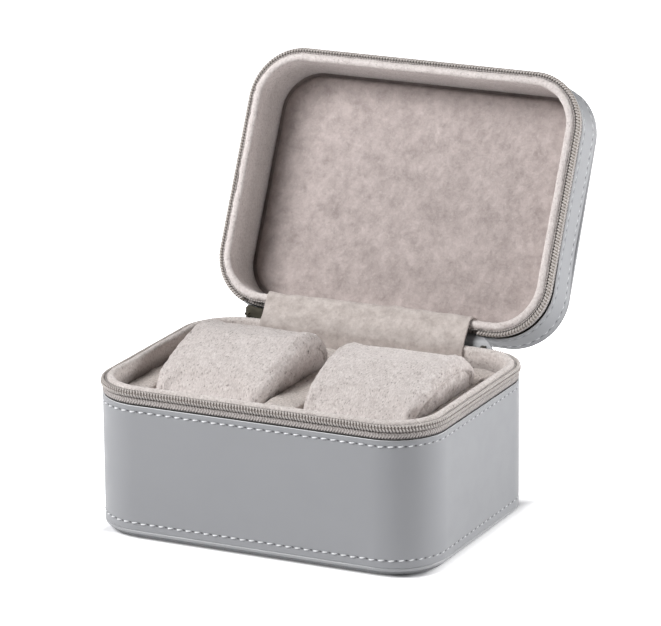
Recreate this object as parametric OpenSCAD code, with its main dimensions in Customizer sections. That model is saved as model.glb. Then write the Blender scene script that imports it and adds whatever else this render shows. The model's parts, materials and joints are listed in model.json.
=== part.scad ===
// Zip-around travel case for two watches, shown open.
// Units are millimetres. The origin is the middle of the underside, +Z is up and
// the front of the case faces -Y. The lid is drawn open, as it stands on a table.

/* [Case] */
// Width of the leather walls, left to right
case_w = 170; // [150:1:200]
// Depth of the leather walls, front to back
case_d = 125; // [116:1:150]
// Corner radius of the leather walls, seen from above
corner_r = 25.5; // [20:0.5:32]
// Height of the plane where the tub's rim meets the lid's rim
tub_h = 72.7; // [66:0.1:90]
// Height of the lid above that plane
lid_h = 30.7; // [26:0.1:45]
// Angle from closed at which the open lid stands
open_angle = 116; // [95:1:120]

/* [Walls] */
// Thickness of the outer leather with its backing
leather_t = 1.3; // [0.8:0.1:2]
// Thickness of the stiff board in the walls, floor and lid
board_t = 2; // [1.2:0.1:3]
// Thickness of the suede lining with the foam behind it
lining_t = 1.75; // [1.2:0.05:3]
// Distance from the closing plane to the edge of the wall leather
band_gap = 8.5; // [7:0.1:12]
// Height of the rounded edge between wall and bottom, and wall and lid top
edge_h = 4.8; // [4:0.1:8]
// Inward reach of that rounded edge
edge_in = 6.4; // [5:0.1:10]
// Diameter of the piping in the seams of that edge
piping_d = 2; // [1.2:0.1:2.4]

/* [Zip] */
// Thickness of the zip tape
tape_t = 0.6; // [0.4:0.05:1]
// Length of tape tucked behind the leather
tape_tuck = 3.5; // [2:0.1:6]
// Distance along the chain from one tooth to the next
tooth_pitch = 1.5; // [1.2:0.1:2.5]
// Length of one tooth along the chain
tooth_l = 0.85; // [0.6:0.05:1]
// Depth of the grooves between the teeth
tooth_cut = 0.7; // [0.4:0.05:1]
// Thickness of the chain, square to the wall
coil_t = 2.2; // [1.8:0.1:3]
// Height of one half of the chain
coil_h = 3.3; // [2.8:0.1:4]
// Distance from the closing plane to the teeth
coil_gap = 0.9; // [0.4:0.1:2]
// Distance of the chain's ends, on the back wall, in from the sides of the case
zip_end = 28; // [27:1:40]

/* [Slider and pull] */
// Length of the slider body along the chain
slider_l = 10.5; // [8:0.5:14]
// Height of the slider body across the chain
slider_w = 8; // [6:0.5:10]
// Thickness of the slider's plates
slider_t = 1.1; // [0.8:0.1:1.6]
// Length of the pull tab
pull_l = 23; // [15:1:30]
// Width of the pull tab
pull_w = 6; // [4:0.5:9]
// Thickness of the pull tab
pull_t = 1.2; // [0.8:0.1:2]

/* [Insert] */
// Distance from the closing plane down to the top of the insert
insert_drop = 9; // [7:0.5:20]
// Width of the bridge between the two pockets
bridge_w = 18; // [12:0.5:30]
// Width of one pocket, left to right
pocket_w = 56.5; // [45:0.5:60]
// Length of the pockets, front to back
pocket_l = 85; // [75:0.5:90]
// Height of the pocket floors above the underside of the case
pocket_z = 22.5; // [12:0.5:30]
// Distance by which the pockets sit behind the middle of the case
pocket_back = 1.5; // [0:0.5:3]

/* [Pillows] */
// Clearance between a pillow and each side of its pocket
pillow_gap = 0.8; // [0.5:0.1:3]
// Length of a pillow's oval section, along its longer axis
pillow_l = 79.6; // [60:0.2:82]
// Height of a pillow's oval section, square to that axis
pillow_h = 53.6; // [40:0.2:60]
// Squareness of the oval section: 2 is an ellipse
pillow_square = 2.45; // [2:0.05:3]
// Angle at which a pillow lies back in its pocket, front end down
pillow_lean = 17; // [0:1:20]
// Thickness of the suede wrapped round a pillow's core
wrap_t = 1.6; // [1:0.1:2.5]
// Depth of the dished end of a pillow
dish = 2.2; // [1:0.1:4]
// Height of the crown along a pillow
pillow_crown = 0.5; // [0:0.1:1]

/* [Lining] */
// Width of the suede hinge strip
strip_w = 106; // [60:1:110]
// Distance of the hinge strip's middle to the left of the case's middle
strip_left = 2.5; // [-5:0.5:5]
// Thickness of the suede hinge strip
strip_t = 1.2; // [0.8:0.1:2]
// Height of the crown on the padded panel in the lid
panel_crown = 1.2; // [0.5:0.1:3]
// Thickness of the padded panel at its edge
panel_t = 2.8; // [2:0.1:5]

/* [Hidden] */

$fn = 48;
// clearance between two layers of one wall
lay = 0.05;
// half of the space left between the two rims when the case is closed
rim_gap = 0.2;

// distances of each layer from the leather's outer face
tape_in = leather_t + lay;
board_in = tape_in + tape_t + lay;
lining_in = board_in + board_t + lay;
wall_in = lining_in + lining_t;
coil_in = tape_in - lay;

// the chain's ends, measured from the middle of the back wall
zip_end_x = case_w / 2 - zip_end;

// hinge line, just behind and above the meeting of the two rims
hinge_y = case_d / 2 + 2;
hinge_z = tub_h + 2.5;

insert_top = tub_h - insert_drop;
// clearance of the insert and of the lid panel to the lining round them
insert_fit = 0.4;
// rounding of the suede where it turns down into the pockets
pocket_round = 2;
floor_z = leather_t + lay;
board_z = floor_z + board_t;
pocket_x = bridge_w / 2 + pocket_w / 2;

// top of the bottom leather, which stops under the piping, and its inset there
skin_top = edge_h - piping_d - lay;
skin_in = leather_t + 0.3;

// the padded rim caps the board: its drop below the closing plane, middle and radius
rim_cap = 3.4;
rim_mid = (board_in + wall_in) / 2;
rim_r = (wall_in - board_in) / 2;

// metal stop at the end of the chain, and wire of the slider's bail
stop_l = 2.2;
bail_d = 1.5;

// pillows: width, corners of the section and rolled ends
pillow_w = pocket_w - 2 * pillow_gap;
pillow_n = 36;
end_roll = 5;

// outline lengths: front half, corner arc and side of the leather's face
seg_front = case_w / 2 - corner_r;
seg_arc = PI * corner_r / 2;
seg_side = case_d - 2 * corner_r;

// distance along the outline, from the middle of the front, to x on the back wall
function back_s(x) = 2 * seg_front + 2 * seg_arc + seg_side - x;

// point at distance s along the outline from the middle of the front, moved out by o
function right_pt(s, o) =
    s < seg_front ? [s, -case_d / 2 - o] :
    s < seg_front + seg_arc ?
        let(a = (s - seg_front) / corner_r * 180 / PI)
        [seg_front + (corner_r + o) * sin(a), -seg_side / 2 - (corner_r + o) * cos(a)] :
    s < seg_front + seg_arc + seg_side ?
        [case_w / 2 + o, s - seg_front - seg_arc - seg_side / 2] :
    s < seg_front + 2 * seg_arc + seg_side ?
        let(a = (s - seg_front - seg_arc - seg_side) / corner_r * 180 / PI)
        [seg_front + (corner_r + o) * cos(a), seg_side / 2 + (corner_r + o) * sin(a)] :
    [2 * seg_front + 2 * seg_arc + seg_side - s, case_d / 2 + o];
function outline_pt(s, o) =
    let(p = right_pt(abs(s), o)) [s < 0 ? -p[0] : p[0], p[1]];

// a point [y, z] of the closed lid, where the open lid has it
function opened_pt(p) =
    let(y = p[0] - hinge_y, z = p[1] - hinge_z, c = cos(open_angle), s = -sin(open_angle))
    [hinge_y + c * y - s * z, hinge_z + s * y + c * z];

// place a shell of height lid_h, built like the tub, as the open lid
module as_lid() {
    translate([0, hinge_y, hinge_z]) rotate([-open_angle, 0, 0])
        translate([0, -hinge_y, tub_h + lid_h - hinge_z]) mirror([0, 0, 1]) children();
}

// solid with the case's outline drawn in by i, from height z0 to z1
module plate(i, z0, z1) {
    w = case_w - 2 * i;
    d = case_d - 2 * i;
    r = corner_r - i;
    translate([0, 0, z0]) {
        translate([-w / 2 + r, -d / 2, 0]) cube([w - 2 * r, d, z1 - z0]);
        translate([-w / 2, -d / 2 + r, 0]) cube([w, d - 2 * r, z1 - z0]);
        for (x = [-1, 1], y = [-1, 1])
            translate([x * (w / 2 - r), y * (d / 2 - r), 0]) cylinder(r = r, h = z1 - z0, $fn = 72);
    }
}

// ring that runs right round the case; its section is drawn with x as the distance
// out from the leather's face and y as the height
module band() {
    w = case_w - 2 * corner_r;
    d = case_d - 2 * corner_r;
    for (k = [0:3]) {
        l = k % 2 == 0 ? w : d;
        g = k % 2 == 0 ? case_d / 2 : case_w / 2;
        rotate([0, 0, k * 90]) {
            translate([-l / 2, -g, 0]) rotate([90, 0, 90]) linear_extrude(l)
                mirror([1, 0]) children();
            translate([l / 2, -g + corner_r, 0]) rotate([0, 0, -90])
                rotate_extrude(angle = 90, $fn = 72) translate([corner_r, 0]) children();
        }
    }
}

// arc of points about c, from angle a to b
function arc(c, rx, ry, a, b, n) =
    [for (k = [0:n]) let(t = a + (b - a) * k / n) [c[0] + rx * cos(t), c[1] + ry * sin(t)]];

// The tub and the lid are the same kind of shell. Each module below draws one layer
// of a shell that stands on z = 0 and has its rim at height h.

// stiff board: floor and walls in one piece
module board(h) {
    b = board_in + board_t;
    plate(edge_in + 0.5, floor_z, board_z);
    band() polygon([
        [-b, h - rim_cap], [-board_in, h - rim_cap], [-board_in, skin_top + lay],
        [-skin_in - leather_t, skin_top + lay], [-edge_in, floor_z],
        [-edge_in - 1, floor_z], [-edge_in - 1, board_z], [-b, board_z]]);
}

// wall leather between the two seams, its free edge turned over
module wall_leather(h) {
    band() polygon([
        [-leather_t, edge_h + lay], [-0.3, edge_h + lay], [0, edge_h + 0.4],
        [0, h - band_gap - 0.4], [-0.4, h - band_gap], [-leather_t, h - band_gap]]);
}

// leather bottom with its rounded edge, up to the piping
module bottom_leather() {
    r = edge_in - skin_in;
    plate(edge_in - 0.5, 0, leather_t);
    band() polygon(concat(
        [[-edge_in - 1, leather_t], [-edge_in - 1, 0]],
        arc([-edge_in, skin_top], r, skin_top, -90, 0, 10),
        arc([-edge_in, skin_top], r - leather_t, skin_top - leather_t, 0, -90, 10)));
}

// round cord covered in leather, in the seam
module piping() {
    band() translate([0.1 - piping_d / 2, edge_h - piping_d / 2])
        circle(d = piping_d, $fn = 24);
}

// zip tape, left out between the zip's ends at the back
module zip_tape(h) {
    difference() {
        band() translate([-tape_in - tape_t, h - band_gap - tape_tuck])
            square([tape_t, band_gap + tape_tuck - coil_gap - 0.6]);
        translate([-zip_end_x, 0, 0]) cube([2 * zip_end_x, case_d, h]);
    }
}

// inner side of a half of the chain, from distance s1 back to s0
function chain_back(s0, s1) =
    let(n = floor((s1 - s0) / (2 * tooth_pitch)))
    [for (k = [0:n]) outline_pt(s1 - (s1 - s0) * k / n, -coil_in)];
chain_out = coil_t - coil_in;

// one row of teeth between the distances s0 and s1 along the case
module teeth_row(s0, s1) {
    n = floor((s1 - s0) / tooth_pitch);
    gap = tooth_pitch - tooth_l;
    polygon(concat(
        [for (k = [0:n - 1], j = [0:3])
            outline_pt(s0 + k * tooth_pitch + (j < 2 ? gap / 2 : gap / 2 + tooth_l),
                j == 0 || j == 3 ? chain_out - tooth_cut : chain_out)],
        chain_back(s0, s1)));
}

// one half of the zip's chain: two rows of teeth on a cord
module zip_teeth(h, s0, s1) {
    row = coil_h * 0.42;
    z = h - coil_gap - coil_h;
    n = floor((s1 - s0) / (2 * tooth_pitch));
    translate([0, 0, z]) linear_extrude(row) teeth_row(s0, s1);
    translate([0, 0, z + coil_h - row]) linear_extrude(row) teeth_row(s0, s1);
    translate([0, 0, z + row]) linear_extrude(coil_h - 2 * row)
        polygon(concat(
            [for (k = [0:n])
                outline_pt(s0 + (s1 - s0) * k / n, chain_out - tooth_cut - 0.4)],
            chain_back(s0, s1)));
}

// suede inner wall from z0 up, with the padded rim that caps the board
module lining(h, z0) {
    band() polygon(concat(
        [[-wall_in, z0]],
        arc([-rim_mid, h - rim_gap - rim_r], rim_r, rim_r, 180, 0, 16),
        [[-board_in, h - rim_cap + lay], [-lining_in, h - rim_cap + lay], [-lining_in, z0]]));
}

module base_board() {
    color("#b9a88c") board(tub_h);
}

module base_leather() {
    color("#a3a4a7") wall_leather(tub_h);
}

module base_bottom() {
    color("#8f9092") bottom_leather();
}

module base_piping() {
    color("#9fa0a3") piping();
}

module base_zip_tape() {
    color("#a09890") zip_tape(tub_h);
}

module base_zip_teeth() {
    color("#8f857e") zip_teeth(tub_h, -back_s(zip_end_x), back_s(zip_end_x + stop_l + 0.2));
}

module base_lining() {
    color("#d6cdc9") lining(tub_h, board_z + lay);
}

module lid_board() {
    color("#b9a88c") as_lid() board(lid_h);
}

module lid_leather() {
    color("#a3a4a7") as_lid() wall_leather(lid_h);
}

module lid_top() {
    color("#a3a4a7") as_lid() bottom_leather();
}

module lid_piping() {
    color("#9fa0a3") as_lid() piping();
}

module lid_zip_tape() {
    color("#a09890") as_lid() zip_tape(lid_h);
}

module lid_zip_teeth() {
    color("#8f857e") as_lid()
        zip_teeth(lid_h, -back_s(zip_end_x + slider_l + 1.2), back_s(zip_end_x));
}

module lid_lining() {
    color("#948985") as_lid() lining(lid_h, board_z + lay);
}

// padded panel in the lid: suede over foam, with a rolled edge and a low crown
module lid_panel() {
    i = wall_in + insert_fit;
    r = panel_t * 0.6;
    e = 5 * panel_t;
    z = board_z + lay;
    top = z + panel_t + panel_crown;
    color("#b5aca8") as_lid() {
        plate(i + e - 0.5, z, top);
        band() polygon(concat(
            [[-i - e - 1, z], [-i, z]],
            arc([-i - r, z + panel_t - r], r, r, 0, 90, 5),
            [for (t = [0.25:0.25:1])
                [-i - r - (e - r) * t, z + panel_t + panel_crown * sin(90 * t)]],
            [[-i - e - 1, top]]));
    }
}

// bar of the insert: its top corners are rounded where the suede turns down
module soft_bar(w, l) {
    r = pocket_round;
    h = insert_top - board_z - lay;
    rotate([90, 0, 0]) linear_extrude(l, center = true)
        polygon(concat(
            [[-w / 2, 0], [w / 2, 0]],
            arc([w / 2 - r, h - r], r, r, 0, 90, 8),
            arc([-w / 2 + r, h - r], r, r, 90, 180, 8)));
}

// foam block covered in suede, with a pocket for each pillow
module insert() {
    z0 = board_z + lay;
    side = case_w;
    x1 = pocket_x + pocket_w / 2 + side / 2;
    y0 = pocket_back - pocket_l / 2 - side / 2;
    y1 = pocket_back + pocket_l / 2 + side / 2;
    color("#cbc2bc") intersection() {
        plate(wall_in + insert_fit, z0, insert_top);
        union() {
            translate([-case_w / 2, -case_d / 2, z0]) cube([case_w, case_d, pocket_z - z0]);
            translate([0, 0, z0]) soft_bar(bridge_w, case_d);
            translate([-x1, 0, z0]) soft_bar(side, case_d);
            translate([x1, 0, z0]) soft_bar(side, case_d);
            translate([0, y0, z0]) rotate([0, 0, 90]) soft_bar(side, case_w);
            translate([0, y1, z0]) rotate([0, 0, 90]) soft_bar(side, case_w);
        }
    }
}

function reversed(p) = [for (k = [len(p) - 1:-1:0]) p[k]];

// strip of material of thickness t and width w along a path of [y, z] points
function path_dir(p, k) =
    let(a = p[max(k - 1, 0)], b = p[min(k + 1, len(p) - 1)]) (b - a) / norm(b - a);
function path_side(p, o) =
    [for (k = [0:len(p) - 1]) let(d = path_dir(p, k)) p[k] + o * [-d[1], d[0]]];
module strip(p, t, w) {
    rotate([90, 0, 90]) linear_extrude(w, center = true)
        polygon(concat(path_side(p, t / 2), reversed(path_side(p, -t / 2))));
}

// outer leather over the hinge, from the tub's back wall to the lid's
module hinge_leather() {
    y = case_d / 2 - leather_t / 2;
    a = [y, tub_h - band_gap + lay];
    d = opened_pt([y, tub_h + band_gap - lay]);
    b = a + [0, band_gap * 0.75];
    c = opened_pt([y, tub_h + band_gap * 0.25]);
    path = [for (k = [0:14]) let(t = k / 14, u = 1 - t)
        u * u * u * a + 3 * u * u * t * b + 3 * u * t * t * c + t * t * t * d];
    color("#a3a4a7") strip(path, leather_t, 2 * zip_end_x - 1);
}

// suede strip over the hinge: up the tub's back wall, over both rims, into the lid
module hinge_strip() {
    r = rim_r + lay + strip_t / 2;
    p = [case_d / 2 - rim_mid, tub_h - rim_gap - rim_r];
    q = opened_pt([case_d / 2 - rim_mid, tub_h + rim_gap + rim_r]);
    a = atan2(q[1] - p[1], q[0] - p[0]) + 90;
    e = 180 - open_angle;
    inner = case_d / 2 - wall_in - lay - strip_t / 2;
    path = concat(
        [[inner, insert_top + insert_fit], [inner, (insert_top + p[1]) / 2]],
        arc(p, r, r, 180, a, 6), arc(q, r, r, a, e, 10),
        [opened_pt([inner, tub_h + lid_h / 2]),
         opened_pt([inner, tub_h + lid_h - board_z - panel_t - 0.4])]);
    color("#cdc4bf") translate([-strip_left, 0, 0]) strip(path, strip_t, strip_w);
}

// slider, parked at the left end of the chain behind the case
slide_y = case_d / 2 + coil_t - coil_in + 0.3;
bail_y = slide_y + slider_t + pull_t + 1.6;
slide_x = -zip_end_x - slider_l / 2;
module zip_slider() {
    l = slider_l / 2;
    w = slider_w / 2;
    color("#4a483c") translate([slide_x, slide_y, tub_h]) {
        rotate([-90, 0, 0]) linear_extrude(slider_t)
            polygon([[l, w * 0.72], [l - 1, w * 0.8], [0, w * 0.85], [-l * 0.4, w],
                [-l + 1.2, w], [-l, w * 0.7], [-l, -w * 0.7], [-l + 1.2, -w],
                [-l * 0.4, -w], [0, -w * 0.85], [l - 1, -w * 0.8], [l, -w * 0.72]]);
        translate([-l, -1.4, -0.5]) cube([2.4, 1.4, 1]);
    }
}

// arched wire on the slider that carries the pull
module zip_bail() {
    r = bail_d / 2;
    l = slider_l / 2 - 1.6;
    color("#4a483c") translate([slide_x, 0, tub_h]) {
        translate([-l, bail_y, 0]) rotate([0, 90, 0]) cylinder(r = r, h = 2 * l, $fn = 24);
        for (x = [-l, l])
            translate([x - r, slide_y + slider_t, -r])
                cube([2 * r, bail_y + r - slide_y - slider_t, 2 * r]);
    }
}

// pull tab hanging from the bail
module zip_pull() {
    eye = bail_d / 2 + pull_t + 0.35;
    color("#4a483c") translate([slide_x, bail_y, tub_h]) difference() {
        union() {
            translate([-1.5, 0, 0]) rotate([0, 90, 0]) cylinder(r = eye, h = 3, $fn = 32);
            translate([-1.5, -pull_t / 2, -eye - 2]) cube([3, pull_t, eye + 2]);
            translate([-pull_w / 2, -pull_t / 2, -pull_l]) cube([pull_w, pull_t, pull_l - eye - 2]);
            translate([0, -pull_t / 2, -pull_l]) rotate([-90, 0, 0])
                cylinder(r = pull_w / 2, h = pull_t, $fn = 48);
        }
        translate([-3, 0, 0]) rotate([0, 90, 0])
            cylinder(r = bail_d / 2 + 0.35, h = 6, $fn = 32);
    }
}

// metal stop at the right end of the chain
module zip_stop() {
    color("#4a483c") translate([zip_end_x, case_d / 2 - coil_in, tub_h - coil_gap - coil_h])
        cube([stop_l, coil_t + 0.3, coil_h + 0.4]);
}

// oval section of a pillow, drawn in by i
function oval(i) =
    [for (k = [0:pillow_n - 1])
        let(t = 360 * k / pillow_n, c = cos(t), s = sin(t), e = 2 / pillow_square)
        [(pillow_l / 2 - i) * sign(c) * pow(abs(c), e),
         (pillow_h / 2 - i) * sign(s) * pow(abs(s), e)]];

// height of a pillow's middle: its lowest point is just clear of the pocket's floor
pillow_low = min([for (p = oval(-pillow_crown)) p[0] * sin(pillow_lean) + p[1] * cos(pillow_lean)]);
pillow_z = pocket_z + 0.3 - pillow_low;

// faces between the rings of a loft, m rings of n points, joined up if round is true
function ring_faces(m, n, round) =
    [for (j = [0:m - (round ? 1 : 2)], k = [0:n - 1], h = [0:1])
        let(a = j * n + k, b = j * n + (k + 1) % n,
            c = (j + 1) % m * n + k, d = (j + 1) % m * n + (k + 1) % n)
        h == 0 ? [a, d, b] : [a, c, d]];
function ring_points(rings) =
    [for (g = rings) for (p = oval(g[1])) [g[0], p[0], p[1]]];

// place a piece of the left (-1) or right (1) pillow
module at_pillow(side) {
    translate([side * pocket_x, pocket_back, pillow_z]) rotate([pillow_lean, 0, 0]) children();
}

// section of the wrap as [x, inset]: crowned in the middle, rolled in at the ends
function roll(r, a, b, n) =
    [for (k = [0:n])
        let(t = a + (b - a) * k / n)
        [end_roll - pillow_w / 2 - r * cos(t), end_roll - r * sin(t)]];
function turned(p) = [for (k = [len(p) - 1:-1:0]) [-p[k][0], p[k][1]]];

// suede wrap of a pillow, one skin over the core with its ends rolled in
module pillow_wrap() {
    r = end_roll;
    out = roll(r, -65, 90, 6);
    inn = roll(r - wrap_t, -65, 90, 4);
    rings = concat(out, [[0, -pillow_crown]], turned(out),
        reversed(turned(inn)), [[0, wrap_t - pillow_crown]], reversed(inn));
    polyhedron(ring_points(rings), ring_faces(len(rings), pillow_n, true), convexity = 6);
}

// end cap of a pillow: a disc with a low crown, sewn in behind the roll
module pillow_cap() {
    i = 2 * end_roll + 0.1;
    x = -pillow_w / 2;
    rings = [[x + dish, 22], [x + dish + 0.3, 18], [x + dish + 0.9, 13.5],
        [x + dish + 2, i], [x + end_roll + wrap_t - 0.2, i]];
    n = pillow_n;
    m = len(rings);
    polyhedron(
        concat(ring_points(rings), [[rings[0][0], 0, 0], [rings[m - 1][0], 0, 0]]),
        concat(ring_faces(m, n, false),
            [for (k = [0:n - 1]) [m * n, k, (k + 1) % n]],
            [for (k = [0:n - 1]) [m * n + 1, (m - 1) * n + (k + 1) % n, (m - 1) * n + k]]),
        convexity = 2);
}

// foam core of a pillow
module pillow_core() {
    l = pillow_w - 2 * (end_roll + wrap_t);
    rotate([90, 0, 90]) linear_extrude(l, center = true) polygon(oval(wrap_t + 0.3));
}

module left_core() {
    color("#e6e1d6") at_pillow(-1) pillow_core();
}

module left_wrap() {
    color("#cfc8c5") at_pillow(-1) pillow_wrap();
}

module left_cap_outer() {
    color("#cfc8c5") at_pillow(-1) pillow_cap();
}

module left_cap_inner() {
    color("#cfc8c5") at_pillow(-1) mirror([1, 0, 0]) pillow_cap();
}

module right_core() {
    color("#e6e1d6") at_pillow(1) pillow_core();
}

module right_wrap() {
    color("#cfc8c5") at_pillow(1) pillow_wrap();
}

module right_cap_outer() {
    color("#cfc8c5") at_pillow(1) mirror([1, 0, 0]) pillow_cap();
}

module right_cap_inner() {
    color("#cfc8c5") at_pillow(1) pillow_cap();
}

base_board();
base_leather();
base_bottom();
base_piping();
base_zip_tape();
base_zip_teeth();
base_lining();
insert();
lid_board();
lid_leather();
lid_top();
lid_piping();
lid_zip_tape();
lid_zip_teeth();
lid_lining();
lid_panel();
hinge_leather();
hinge_strip();
zip_slider();
zip_bail();
zip_pull();
zip_stop();
left_core();
left_wrap();
left_cap_outer();
left_cap_inner();
right_core();
right_wrap();
right_cap_outer();
right_cap_inner();
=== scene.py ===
# %% [markdown]
# # A zip-around travel case for two watches
# The case has two stiff shells, wrapped in smooth grey leather and lined with suede.
# A zip runs round three sides, and suede and leather join the shells at the back.
# The CAD model gives every piece its place. Here each visible surface is made again
# with the roundness, threads and nap that make it look like the real one.
# Blender works in metres. The formulas below use millimetres, which suit a thing of
# this size, and one function turns them into metres.

import json
import math

import bmesh
import bpy
import numpy as np
from mathutils import Matrix, Vector


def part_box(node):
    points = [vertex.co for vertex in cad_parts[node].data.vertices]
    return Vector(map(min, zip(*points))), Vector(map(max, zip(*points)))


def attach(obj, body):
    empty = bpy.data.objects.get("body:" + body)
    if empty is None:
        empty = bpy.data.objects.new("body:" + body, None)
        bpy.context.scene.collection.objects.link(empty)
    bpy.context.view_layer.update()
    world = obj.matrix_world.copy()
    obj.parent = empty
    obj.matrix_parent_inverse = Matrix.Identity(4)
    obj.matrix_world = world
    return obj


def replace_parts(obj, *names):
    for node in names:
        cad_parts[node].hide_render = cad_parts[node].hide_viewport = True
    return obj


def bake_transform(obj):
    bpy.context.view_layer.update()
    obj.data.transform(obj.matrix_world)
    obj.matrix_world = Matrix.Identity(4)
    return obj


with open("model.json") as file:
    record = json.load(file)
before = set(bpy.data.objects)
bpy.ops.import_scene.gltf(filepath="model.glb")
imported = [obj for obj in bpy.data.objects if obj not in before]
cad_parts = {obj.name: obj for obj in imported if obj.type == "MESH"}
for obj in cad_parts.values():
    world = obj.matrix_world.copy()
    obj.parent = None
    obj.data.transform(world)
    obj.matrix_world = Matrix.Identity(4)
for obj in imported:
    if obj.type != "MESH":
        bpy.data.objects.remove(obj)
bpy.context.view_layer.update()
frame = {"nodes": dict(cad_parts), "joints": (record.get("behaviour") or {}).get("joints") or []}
MM = 0.001
UV_MM = 100  # millimetres for each unit of a texture coordinate, where it isn't a count
joint = {j["name"]: j for j in frame["joints"]}


def size_of(node):
    """Lowest and highest corner of a CAD node, in millimetres."""
    lo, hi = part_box(node)
    return np.array(lo) / MM, np.array(hi) / MM


def placed(name, data):
    """An object for a mesh, a lamp or a camera, in the scene."""
    made = bpy.data.objects.new(name, data)
    bpy.context.scene.collection.objects.link(made)
    return made


# %% [markdown]
# ## Sizes
# The leather of the tub gives the outline: a rounded rectangle. The hinge joint gives
# the line about which the lid turns, and how far it stands open. The other numbers
# are the thicknesses and heights of the layers, which are the CAD model's own.

# %% Sizes, in millimetres
leather_lo, leather_hi = size_of("base_leather")
CASE_W, CASE_D = (leather_hi - leather_lo)[:2]
CORNER_R = 25.5
TUB_H = 72.7
LID_H = 30.7
BAND_GAP = TUB_H - leather_hi[2]
EDGE_H = leather_lo[2]
HINGE_Y, HINGE_Z = np.array(joint["lid_hinge"]["pos_m"])[1:] / MM
OPEN = math.radians(joint["lid_hinge"]["range_deg"][1])
ZIP_END = 57.0
LID_ZIP_END = 53.5
print("case", round(CASE_W, 1), "x", round(CASE_D, 1), "mm, leather edge", round(leather_hi[2], 2))

# %% [markdown]
# ## The camera
# The photograph was taken from far away with a long lens, a little to the right of
# the front and a little above. The camera stands on a circle round a target point:
# azimuth is the angle round the object and elevation is the angle above the floor.
# A small roll turns the picture about the line of sight. The focal length is given in
# picture widths, because that holds for any sensor.


# %% Camera
def camera_axes(azimuth, elevation, roll):
    """Right, up and back of a camera: back points from the target to the camera,
    right is level, and the roll turns right and up about back."""
    a, e, r = np.radians([azimuth, elevation, roll])
    back = np.array([np.sin(a) * np.cos(e), -np.cos(a) * np.cos(e), np.sin(e)])
    right = np.cross(-back, [0, 0, 1])
    right /= np.linalg.norm(right)
    up = np.cross(right, -back)
    return np.cos(r) * right + np.sin(r) * up, np.cos(r) * up - np.sin(r) * right, back


AZIMUTH, ELEVATION, CAMERA_ROLL = 26.17, 16.58, -0.57
TARGET, DISTANCE = np.array([10.03, 0, 99.3]), 2109.75
PICTURE_WIDTHS = 4643 / 661
right, up, back = camera_axes(AZIMUTH, ELEVATION, CAMERA_ROLL)
camera = bpy.data.cameras.new("camera")
camera.sensor_width = 36
camera.lens = PICTURE_WIDTHS * camera.sensor_width
camera.clip_start, camera.clip_end = 0.1, 20
eye = placed("camera", camera)
place = np.eye(4)
place[:3, :3] = np.array([right, up, back]).T
place[:3, 3] = (TARGET + back * DISTANCE) * MM
eye.matrix_world = Matrix(place)
bpy.context.scene.camera = eye

# %% [markdown]
# ## Tools for shapes
# Nearly every piece here is a grid of points: one direction runs along the piece and
# the other round its section. `surface` puts such a grid into a mesh. It can join the
# grid up in either direction, and it closes open ends with a fan of triangles. The
# faces have to point outwards, so it works out the enclosed volume and turns them
# round if that comes out negative.


# %% Grids of points as meshes
def grid_faces(m, n, wrap_m, wrap_n):
    """Corner numbers of the quads of an m by n grid of points, joined up where it wraps."""
    i = np.arange(m if wrap_m else m - 1)[:, None]
    j = np.arange(n if wrap_n else n - 1)[None, :]
    i2, j2 = (i + 1) % m, (j + 1) % n
    return np.stack([i * n + j, i2 * n + j, i2 * n + j2, i * n + j2], -1).reshape(-1, 4)


def volume(points, triangles):
    """Enclosed volume: the sum of the signed tetrahedra from the origin to each triangle."""
    a, b, c = (points[triangles[:, k]] for k in range(3))
    return float((a * np.cross(b, c)).sum() / 6)


def piece(name, points, quads, triangles=(), uv=None, crease=40, cap_uv=None):
    """An object from points in millimetres, quads and triangles, turned to face outwards.
    uv has a row for each corner of each quad, cap_uv one for each triangle. Edges sharper
    than crease stay sharp."""
    quads = np.asarray(quads, int).reshape(-1, 4)
    triangles = np.asarray(triangles, int).reshape(-1, 3)
    all_triangles = np.concatenate([quads[:, [0, 1, 2]], quads[:, [0, 2, 3]], triangles])
    if volume(points, all_triangles) < 0:
        quads, triangles = quads[:, ::-1], triangles[:, ::-1]
        uv = None if uv is None else uv.reshape(-1, 4, 2)[:, ::-1]
    me = bpy.data.meshes.new(name)
    me.from_pydata((points * MM).tolist(), [], quads.tolist() + triangles.tolist())
    if uv is not None:
        corners = np.zeros((len(me.loops), 2), np.float32)
        corners[: 4 * len(quads)] = uv.reshape(-1, 2)
        if cap_uv is not None:
            corners[4 * len(quads):] = np.repeat(cap_uv, 3, axis=0)
        me.uv_layers.new(name="UVMap").data.foreach_set("uv", corners.ravel())
    me.shade_smooth()
    me.set_sharp_from_angle(angle=math.radians(crease))
    made = placed(name, me)
    print(name, len(quads) * 2 + len(triangles), "triangles")
    return made


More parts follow.
